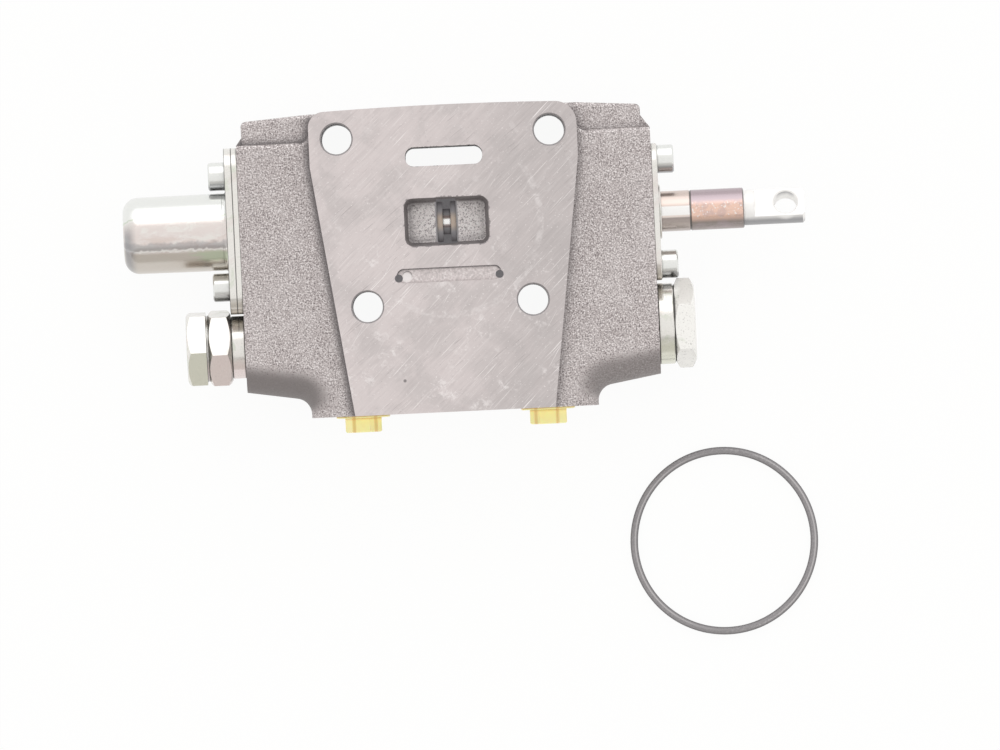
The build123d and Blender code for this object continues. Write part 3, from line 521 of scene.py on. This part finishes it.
def zinc_plate(name, looks, axis_y, turned=0.0, low=None, seams=(), metal=0.9, plate=None,
               speckle=0.4):
    """Zinc plate: bright, faintly green and warm in patches, with painted shade towards the ports
    and in its corners.

    turned is the strength of the lathe lines, low the colour of painted shade on the ports' side,
    seams are the places along X of dark lines, and plate is the main colour where it isn't the
    usual one.
    """
    f = Finish(name)
    patches = f.noise(6 * MM, 3.0, 0.5, bend=0.8)
    warm = f.noise(5 * MM, 2.0, 0.5, f.stretched(0.6, 3.0))
    f.base = f.mix(f.range(patches, 0.56, 0.7, 0.0, 0.35), plate or looks.zinc, looks.zinc_green)
    f.coat(f.range(warm, 0.5, 0.66, 0.0, 0.6), plate or looks.zinc_pink)
    # painted shade on the side that faces the ports
    f.coat(f.faces_ports(0.3, 0.62), low or looks.zinc_shade, 0.85)
    lathe = f.noise(0.22 * MM, 2.0, 0.6, f.along_axis(f.from_axis(axis_y)))
    speck = f.noise(0.5 * MM, 3.0, 0.6)
    f.coat(f.range(speck, 0.58, 0.70, 0.0, speckle), looks.inner)
    # painted shade in corners and gaps
    f.corner_shade(looks.gap)
    for seam in seams:
        f.coat(f.band(f.x, seam, 0.12 * MM, 0.12 * MM), looks.gap, 0.85)
    height = f.plus(f.times(lathe, turned), f.times(speck, 0.5))
    relief = f.rounded(0.25 * MM, f.bump(height, 0.008 * MM))
    rough = f.range(patches, 0.3, 0.7, looks.gloss * 0.8, looks.gloss * 1.3)
    return f.set(metallic=metal, roughness=rough, normal=relief)


def cap_zinc(looks):
    """Drawn spring cap: painted highlight and reflections round its axis, painted shade towards the
    ports, and a green patch.
    """
    f = Finish("cap_zinc")
    turn = f.round_axis(0.0)
    marks = f.noise(3 * MM, 4.0, 0.6, f.stretched(0.0, 2.5), bend=0.6)
    # painted highlight on the shoulder and a warm painted reflection on the crown
    f.base = f.mix(f.range(turn, -0.45, -0.25), looks.screw, looks.zinc_pink)
    pale = f.times(f.range(marks, 0.48, 0.64, 0.0, 0.7), f.range(turn, -0.5, -0.3))
    f.coat(pale, looks.zinc)
    warm = f.times(f.range(marks, 0.52, 0.36, 0.0, 0.6), f.range(turn, -0.1, 0.2))
    f.coat(warm, looks.warm_reflection)
    # painted shade on the side towards the ports, and painted reflection lines along the cap
    wander = f.plus(turn, f.range(f.noise(2 * MM, 2.0), 0.3, 0.7, -0.03, 0.03))
    f.coat(f.band(wander, -0.44, 0.012, 0.03), looks.zinc_green, 0.5)
    f.coat(f.range(turn, 0.47, 0.56, 0.0, 0.9), looks.zinc_shade)
    f.coat(f.band(wander, 0.33, 0.05, 0.09), looks.wire, 0.5)
    f.coat(f.band(wander, 0.45, 0.015, 0.03), looks.tongue, 0.7)
    # green patch near the flange, and specks
    stirred = f.plus(f.x, f.range(marks, 0.3, 0.7, -3 * MM, 3 * MM))
    near = f.range(stirred, CAP_HIGH.x - 17 * MM, CAP_HIGH.x - 9 * MM)
    green = f.times(near, f.band(wander, 0.66, 0.08, 0.14))
    f.coat(green, looks.zinc_green, 0.7)
    speck = f.noise(0.5 * MM, 3.0, 0.6)
    f.coat(f.range(speck, 0.60, 0.74, 0.0, 0.3), looks.inner)
    # painted shade on the rounding of the closed end
    end = f.range(f.x, CAP_LOW.x + 5 * MM, CAP_LOW.x + 1.5 * MM)
    end = f.times(end, f.range(turn, -0.5, 0.1))
    end = f.times(end, f.range(f.facing(0), 0.98, 0.85, 0.25, 1.0))
    f.coat(end, looks.wire, 0.75)
    # painted shade in corners and gaps
    f.corner_shade(looks.gap)
    height = f.noise(0.5 * MM, 2.0, 0.6, f.along_axis(turn))
    relief = f.rounded(0.25 * MM, f.bump(height, 0.006 * MM))
    return f.set(metallic=0.95, roughness=looks.gloss, normal=relief)


def spool_steel(looks):
    """Ground spool with painted reflections and shade round its axis, and a heat tinted band:
    violet, copper, and grey brown painted shade towards the ports.
    """
    f = Finish("spool_steel")
    turn = f.round_axis(0.0)
    lathe = f.noise(0.3 * MM, 3.0, 0.6, f.along_axis(0.0))
    clouds = f.noise(3.5 * MM, 3.0, 0.6, bend=0.5)
    start, end, soft = looks.tint_start, looks.tint_end, 0.2 * MM
    after_start = f.range(f.x, start - soft, start + soft)
    inside = f.times(after_start, f.range(f.x, end + soft, end - soft))
    # plain bar: a warm painted reflection above, a painted highlight line on top, painted shade
    # towards the ports
    steel = f.mix(f.range(turn, 0.0, -0.3), looks.spool, looks.warm_reflection)
    steel = f.mix(f.times(f.range(turn, 0.30, 0.38), 0.9), steel, looks.spool_shade)
    steel = f.mix(f.band(turn, 0.0, 0.20, 0.06), steel, looks.tongue)
    # matt lands, with a painted highlight on top, on both sides of the bright neck in the window
    aside = f.magnitude(f.x)
    off_neck = f.highest(f.range(aside, NECK_HALF, NECK_HALF + 0.1 * MM),
                         f.range(f.magnitude(turn), 0.42, 0.55))
    lands = f.times(off_neck, f.range(aside, LANDS_HALF + 0.1 * MM, LANDS_HALF))
    land = f.mix(f.band(turn, 0.0, 0.15, 0.45), looks.land, looks.land_highlight)
    steel = f.mix(lands, steel, land)
    # heat tinted band, with painted shade towards the ports and a dark line at each end of it
    tint = f.mix(f.range(turn, -0.55, -0.15), looks.tint_edge, looks.tint_middle)
    tint = f.mix(f.range(turn, 0.35, 0.75), tint, looks.tint_shade)
    tint = f.mix(f.range(clouds, 0.46, 0.66, 0.0, 0.4), tint, looks.tint_edge)
    sparks = f.times(f.range(f.noise(0.8 * MM, 2.0), 0.58, 0.68), f.band(turn, 0.05, 0.3, 0.2))
    tint = f.mix(f.times(sparks, 0.7), tint, looks.tongue)
    f.base = f.mix(inside, steel, tint)
    for edge in (start, end):
        f.coat(f.band(f.x, edge, 0.25 * MM, 0.15 * MM), looks.gap, 0.75)
    # painted shade in corners and gaps
    f.corner_shade(looks.gap, 0.8, start=0.85, full=0.35)
    relief = f.rounded(0.2 * MM, f.bump(lathe, 0.006 * MM))
    metallic = f.minus(1.0, f.times(lands, 0.95))
    rough = f.range(lands, 0.0, 1.0, 0.24, 0.6)
    return f.set(metallic=metallic, roughness=rough, normal=relief)


def tongue_steel(looks):
    """Milled tongue, nearly white, with painted shade on the side that faces the ports."""
    f = Finish("tongue_steel")
    lines = f.noise(0.4 * MM, 2.0, 0.5, f.stretched(0.0, 10.0))
    f.base = f.mix(f.range(lines, 0.5, 0.7, 0.0, 0.15), looks.tongue, looks.spool)
    hole = f.spot(*TONGUE_HOLE)
    # painted shade in the spring wire's grey on the side that faces the ports, kept off the hole
    tongue_shade = f.times(f.faces_ports(0.5, 0.8), f.minus(0.9, f.times(hole, 0.9)))
    f.coat(tongue_shade, looks.wire)
    relief = f.rounded(0.2 * MM, f.bump(lines, 0.004 * MM))
    return f.set(metallic=0.2, roughness=0.35, normal=relief)


def plain_steel(name, colour, looks, roughness, low=None):
    """Small machined or drawn steel pieces, with painted shade in their corners, and on the side
    that faces the ports where low is given.
    """
    f = Finish(name)
    speck = f.noise(0.4 * MM, 3.0, 0.6)
    f.base = f.mix(f.range(speck, 0.55, 0.8, 0.0, 0.3), colour, looks.wire)
    if low:
        # painted shade on the side that faces the ports
        f.coat(f.faces_ports(0.35, 0.6), low, 0.8)
    # painted shade in corners and gaps
    f.corner_shade(looks.gap)
    relief = f.rounded(0.3 * MM, f.bump(speck, 0.005 * MM))
    return f.set(metallic=1.0, roughness=roughness, normal=relief)


def seal_rubber(looks):
    """Matt nitrile rubber with faint dust."""
    f = Finish("seal_rubber")
    dust = f.noise(0.7 * MM, 4.0, 0.65)
    f.base = f.mix(f.range(dust, 0.5, 0.75, 0.0, 0.25), looks.rubber, looks.dust)
    return f.set(roughness=0.55, normal=f.bump(dust, 0.01 * MM))


def ring_rubber(looks):
    """Weathered rubber of the loose ring, with painted shade on its sides.

    A painted highlight runs on its inner side at -X and on its outer side at +X.
    """
    f = Finish("ring_rubber")
    wire = (RING_HIGH.z - RING_LOW.z) / 2
    middle = (RING_HIGH.x - RING_LOW.x) / 2 - wire
    across = f.minus(f.x, (RING_LOW.x + RING_HIGH.x) / 2)
    along = f.minus(f.y, (RING_LOW.y + RING_HIGH.y) / 2)
    radius = f.slant(across, along)
    off = f.minus(radius, middle)
    dust = f.noise(0.8 * MM, 4.0, 0.65)
    f.base = f.mix(f.range(dust, 0.4, 0.7, 0.0, 0.25), looks.ring, looks.ring_highlight_and_dust)
    # painted shade on both sides of the tube
    f.coat(f.range(f.magnitude(off), wire * 0.5, wire * 0.95), looks.ring_rim_shade)
    for side in (-1, 1):
        # painted highlight streak along the tube
        highlight = f.band(off, side * wire * 0.28, wire * 0.08, wire * 0.18)
        stirred = f.plus(across, f.range(dust, 0.3, 0.7, -6 * MM, 6 * MM))
        reach = f.range(stirred, 0.0, side * 24 * MM)
        f.coat(f.times(highlight, reach), looks.ring_highlight_and_dust, 0.7)
    return f.set(roughness=0.6, normal=f.bump(dust, 0.01 * MM))


def plug_plastic(looks):
    """Translucent yellow moulded plastic, with orange painted shade in its corners."""
    f = Finish("plug_plastic")
    flow = f.noise(3 * MM, 2.0, 0.5)
    f.base = looks.plug
    # orange painted shade in corners
    f.corner_shade(looks.plug_shade, reach=1.2 * MM, start=0.92, full=0.45)
    f.coat(f.range(flow, 0.45, 0.7, 0.0, 0.06), looks.plug_shade)
    off = f.minus(f.magnitude(f.x), PLUG_X)
    # orange painted shade along the plug's ridges
    for ridge in PLUG_RIDGES:
        f.coat(f.band(off, ridge, 0.3 * MM, 0.5 * MM), looks.plug_shade, 0.55)
    relief = f.rounded(0.3 * MM, f.bump(flow, 0.02 * MM))
    return f.set(subsurface_weight=0.2, subsurface_scale=1.5 * MM, roughness=0.35,
                 normal=relief, emission_color=looks.plug_glow, emission_strength=1.0)


def casting_zone(centre, normal):
    """Which of the casting's materials a polygon gets, by its place and slope."""
    x, y = abs(centre.x), centre.y
    depth = min(centre.z - BODY_LOW.z, BODY_HIGH.z - centre.z)
    end_gap = min(centre.x - BODY_LOW.x, BODY_HIGH.x - centre.x)
    upright = abs(normal.z) < UPRIGHT
    if abs(normal.z) > LEVEL and depth < TOUCH:
        return GROUND
    if abs(normal.x) > LEVEL and end_gap < TOUCH:
        return MILLED
    if abs(normal.y) > LEVEL and y - BODY_LOW.y < TOUCH:
        return MILLED
    if x < GROOVE_END and abs(y - GROOVE_Y) < GROOVE_REACH:
        return GROOVE if depth < GROOVE_DEPTH and x < GROOVE_HALF else CAVITY
    if any(math.hypot(x - hole[0], y - hole[1]) < ROD_HOLE_REACH for hole in ROD_HOLES):
        return BORE
    if x < WINDOW_HALF_X and abs(y) < WINDOW_HALF_Y:
        if depth > WINDOW_DEPTH or (x < NOTCH_HALF and abs(normal.z) < SHEER):
            return CAVITY
        # the window's walls get the dark grey material, which is painted shade
        return WALL if upright else POCKET
    if x < SLOT_HALF_X and abs(y - SLOT_Y) < SLOT_HALF_Y:
        return BORE
    # the face step's walls get the same painted shade
    if upright and depth < STEP_DEPTH and x < STEP_HALF:
        return WALL
    return SKIN


def looks_of(context, group):
    return getattr(context.scene, group)


class SECTION_OT_casting(bpy.types.Operator):
    """Finishes the casting: ground faces, rough skin, milled seats, walls and bores"""
    bl_idname = "valve_section.casting"
    bl_label = "Casting"

    def execute(self, context):
        looks = looks_of(context, "casting_looks")
        skin = cast_iron("cast_iron_skin", looks, looks.skin_low, looks.skin, looks.skin_high)
        # a brighter copy of the cast skin, as painted light on the window floors
        lit_pocket = cast_iron("lit_window_skin", looks, looks.pocket_low, looks.lit_pocket, looks.pocket_high)
        # the walls' material is painted shade
        shade_and_nicks = rough_wall("wall_iron", looks.shade_and_nicks, looks)
        bore = rough_wall("bore_iron", looks.bore, looks)
        cavity = rough_wall("cavity_iron", looks.cavity, looks, looks.cavity_glow)
        paint("valve_body", skin, ground_iron(looks), milled_iron(looks), groove_iron(looks), shade_and_nicks,
              bore, lit_pocket, cavity)
        sort_surfaces("valve_body", casting_zone)
        return {"FINISHED"}


class SECTION_OT_spool(bpy.types.Operator):
    """Finishes the spool, its collar and the screw on its tail"""
    bl_idname = "valve_section.spool"
    bl_label = "Spool"

    def execute(self, context):
        looks = looks_of(context, "metal_looks")
        paint("spool", spool_steel(looks), tongue_steel(looks))
        tongue_start = looks.tint_end + 0.3 * MM
        sort_surfaces("spool", lambda centre, normal: int(centre.x > tongue_start))
        paint("centring_collar", plain_steel("turned_steel", looks.inner, looks, 0.3))
        paint("tail_screw", plain_steel("tail_screw_steel", looks.screw, looks, 0.28))
        return {"FINISHED"}


class SECTION_OT_spring_cap(bpy.types.Operator):
    """Finishes the spring cap and its seal plate"""
    bl_idname = "valve_section.spring_cap"
    bl_label = "Spring cap"

    def execute(self, context):
        looks = looks_of(context, "metal_looks")
        flange = CAP_HIGH.x - CAP_FLANGE
        seams = (flange, CAP_HIGH.x, BODY_LOW.x)
        plate = zinc_plate("left_plate_zinc", looks, 0.0, seams=seams)
        paint("spring_cap", cap_zinc(looks), plate)
        sort_surfaces("spring_cap", lambda centre, normal: int(centre.x > flange - 0.1 * MM))
        paint("left_seal_plate", plate)
        return {"FINISHED"}


class SECTION_OT_end_plate(bpy.types.Operator):
    """Finishes the seal plate on the tongue's end"""
    bl_idname = "valve_section.end_plate"
    bl_label = "Seal plate"

    def execute(self, context):
        looks = looks_of(context, "metal_looks")
        paint("right_seal_plate", zinc_plate("right_plate_zinc", looks, 0.0, seams=(BODY_HIGH.x,)))
        return {"FINISHED"}


class SECTION_OT_screws(bpy.types.Operator):
    """Finishes the socket head screws of both ends"""
    bl_idname = "valve_section.screws"
    bl_label = "Screws"

    def execute(self, context):
        looks = looks_of(context, "metal_looks")
        # the spring wire's grey is painted shade on the screws' side that faces the ports
        steel = plain_steel("screw_zinc", looks.screw, looks, 0.22, looks.wire)
        paint("cap_screws", steel)
        paint("plate_screws", steel)
        return {"FINISHED"}


class SECTION_OT_relief_valve(bpy.types.Operator):
    """Finishes the port relief valve: cartridge, cap and inner pieces"""
    bl_idname = "valve_section.relief_valve"
    bl_label = "Relief valve"

    def execute(self, context):
        looks = looks_of(context, "metal_looks")
        # the rose colour is painted shade on the ports' side
        zinc = zinc_plate("cartridge_zinc", looks, RELIEF_Y, 1.0, looks.zinc_rose_shade)
        paint("relief_cartridge", zinc)
        paint("relief_cap_washer", zinc)
        # the olive colour is painted shade on the ports' side
        paint("relief_cap", zinc_plate("relief_cap_zinc", looks, RELIEF_Y, 1.0, looks.zinc_olive_shade))
        inner = plain_steel("relief_inner_steel", looks.inner, looks, 0.3)
        paint("relief_poppet", inner)
        paint("relief_adjuster", inner)
        return {"FINISHED"}


class SECTION_OT_check_valve(bpy.types.Operator):
    """Finishes the check valve's plug and poppet"""
    bl_idname = "valve_section.check_valve"
    bl_label = "Check valve"

    def execute(self, context):
        looks = looks_of(context, "metal_looks")
        # the olive colour is painted shade on the ports' side
        collar = zinc_plate("check_collar_zinc", looks, CHECK_Y, 1.0, looks.zinc_olive_shade)
        hexagon = zinc_plate("check_zinc", looks, CHECK_Y, 1.0, looks.zinc_white, metal=0.2,
                             plate=looks.zinc_white, speckle=1.0)
        paint("check_plug", collar, hexagon)
        sort_surfaces("check_plug", lambda centre, normal: int(centre.x > HEX_START))
        paint("check_poppet", plain_steel("check_inner_steel", looks.inner, looks, 0.3))
        return {"FINISHED"}


class SECTION_OT_springs(bpy.types.Operator):
    """Finishes the springs"""
    bl_idname = "valve_section.springs"
    bl_label = "Springs"

    def execute(self, context):
        looks = looks_of(context, "metal_looks")
        wire = plain_steel("spring_wire", looks.wire, looks, 0.35)
        paint("inner_centring_spring", wire)
        paint("outer_centring_spring", wire)
        paint("relief_spring", wire)
        paint("check_spring", wire)
        return {"FINISHED"}


class SECTION_OT_seals(bpy.types.Operator):
    """Finishes the rubber seals and the ring beside the section"""
    bl_idname = "valve_section.seals"
    bl_label = "Seals"

    def execute(self, context):
        looks = looks_of(context, "soft_looks")
        rubber = seal_rubber(looks)
        paint("left_spool_seal", rubber)
        paint("right_spool_seal", rubber)
        paint("relief_nose_ring", rubber)
        paint("section_ring", ring_rubber(looks))
        return {"FINISHED"}


class SECTION_OT_port_plugs(bpy.types.Operator):
    """Finishes the two shipping plugs"""
    bl_idname = "valve_section.port_plugs"
    bl_label = "Port plugs"

    def execute(self, context):
        plastic = plug_plastic(looks_of(context, "soft_looks"))
        paint("left_port_plug", plastic)
        paint("right_port_plug", plastic)
        return {"FINISHED"}


# Surroundings from -Y (0) to +Y (1), as linear light: greyer on the ports' side, white opposite.
SKY = ((0.0, (0.58, 0.57, 0.55)), (0.125, (0.60, 0.58, 0.56)), (0.15, (0.42, 0.41, 0.40)),
       (0.175, (0.44, 0.43, 0.42)), (0.21, (0.75, 0.74, 0.73)), (0.5, (0.77, 0.765, 0.76)),
       (0.81, (0.80, 0.79, 0.78)), (0.86, (0.95, 0.95, 0.95)), (0.955, (0.90, 0.90, 0.90)),
       (1.0, (0.70, 0.70, 0.70)))


def studio_world(strength):
    """Soft surroundings that change along Y."""
    world = bpy.data.worlds.new("studio_world")
    world.use_nodes = True
    nodes, links = world.node_tree.nodes, world.node_tree.links
    way = nodes.new("ShaderNodeTexCoord")
    parts = nodes.new("ShaderNodeSeparateXYZ")
    links.new(way.outputs["Generated"], parts.inputs[0])
    span = nodes.new("ShaderNodeMapRange")
    span.inputs["From Min"].default_value = -1.0        # from -1 to 1 becomes 0 to 1
    links.new(parts.outputs["Y"], span.inputs["Value"])
    ramp = nodes.new("ShaderNodeValToRGB")
    links.new(span.outputs[0], ramp.inputs["Fac"])
    fill_ramp(ramp.color_ramp, SKY)
    links.new(ramp.outputs[0], nodes["Background"].inputs["Color"])
    nodes["Background"].inputs["Strength"].default_value = strength
    return world


def floor_finish(studio):
    """Pale floor that shows as nearly white and keeps the object's shadow."""
    f = Finish("floor_paint")
    diffuse = f.node("BsdfDiffuse", {"Color": studio.floor}).outputs[0]
    glow = f.node("Emission", {"Color": studio.floor_white, "Strength": 1.0}).outputs[0]
    path = f.node("LightPath").outputs
    seen = f.highest(path["Is Camera Ray"], path["Is Glossy Ray"])
    seen = f.highest(seen, path["Is Transmission Ray"])
    share = f.times(seen, studio.floor_glow)
    mixed = f.node("MixShader", {0: share, 1: diffuse, 2: glow}).outputs[0]
    f.nodes.remove(f.shader)
    f.links.new(mixed, f.nodes["Material Output"].inputs["Surface"])
    return f.material


class SECTION_OT_stage(bpy.types.Operator):
    """Makes the floor, the light and the camera"""
    bl_idname = "valve_section.stage"
    bl_label = "Stage"

    def execute(self, context):
        studio = looks_of(context, "studio")
        scene = context.scene
        half = studio.floor_half
        mesh = bpy.data.meshes.new("floor")
        corners = [(-half, -half, 0.0), (half, -half, 0.0), (half, half, 0.0), (-half, half, 0.0)]
        mesh.from_pydata(corners, [], [(0, 1, 2, 3)])
        mesh.materials.append(floor_finish(studio))
        floor = bpy.data.objects.new("floor", mesh)
        scene.collection.objects.link(floor)
        scene.world = studio_world(studio.sky_strength)
        key = bpy.data.lights.new("key_light", "SUN")
        key.energy = studio.sun_strength
        key.angle = studio.sun_spread
        lamp = bpy.data.objects.new("key_light", key)
        lamp.rotation_euler = (studio.sun_turn, 0.0, 0.0)
        scene.collection.objects.link(lamp)
        view = bpy.data.cameras.new("camera")
        view.lens = studio.lens
        view.clip_end = studio.camera_reach
        camera = bpy.data.objects.new("camera", view)
        camera.location = (studio.camera_x, studio.camera_y, studio.camera_height)
        camera.rotation_euler = (0.0, 0.0, studio.camera_turn)
        scene.collection.objects.link(camera)
        scene.camera = camera
        scene.view_settings.view_transform = "Standard"
        return {"FINISHED"}


PIECES = (SECTION_OT_casting, SECTION_OT_spool, SECTION_OT_spring_cap, SECTION_OT_end_plate,
          SECTION_OT_screws, SECTION_OT_relief_valve, SECTION_OT_check_valve, SECTION_OT_springs,
          SECTION_OT_seals, SECTION_OT_port_plugs, SECTION_OT_stage)


class SECTION_PT_pieces(bpy.types.Panel):
    """Lists the pieces of the section and their looks"""
    bl_label = "Valve Section"
    bl_idname = "SECTION_PT_pieces"
    bl_space_type = "VIEW_3D"
    bl_region_type = "UI"
    bl_category = "Valve Section"

    def draw(self, context):
        for piece in PIECES:
            self.layout.operator(piece.bl_idname)
        for group, kind in GROUPS.items():
            box = self.layout.box()
            for name in kind.__annotations__:
                box.prop(getattr(context.scene, group), name)


def register():
    for group, kind in GROUPS.items():
        bpy.utils.register_class(kind)
        setattr(bpy.types.Scene, group, PointerProperty(type=kind))
    for piece in (*PIECES, SECTION_PT_pieces):
        bpy.utils.register_class(piece)


def unregister():
    for piece in reversed((*PIECES, SECTION_PT_pieces)):
        bpy.utils.unregister_class(piece)
    for group, kind in GROUPS.items():
        delattr(bpy.types.Scene, group)
        bpy.utils.unregister_class(kind)


def main():
    register()
    for piece in PIECES:
        getattr(bpy.ops.valve_section, piece.bl_idname.split(".")[1])()


if __name__ == "__main__":
    main()
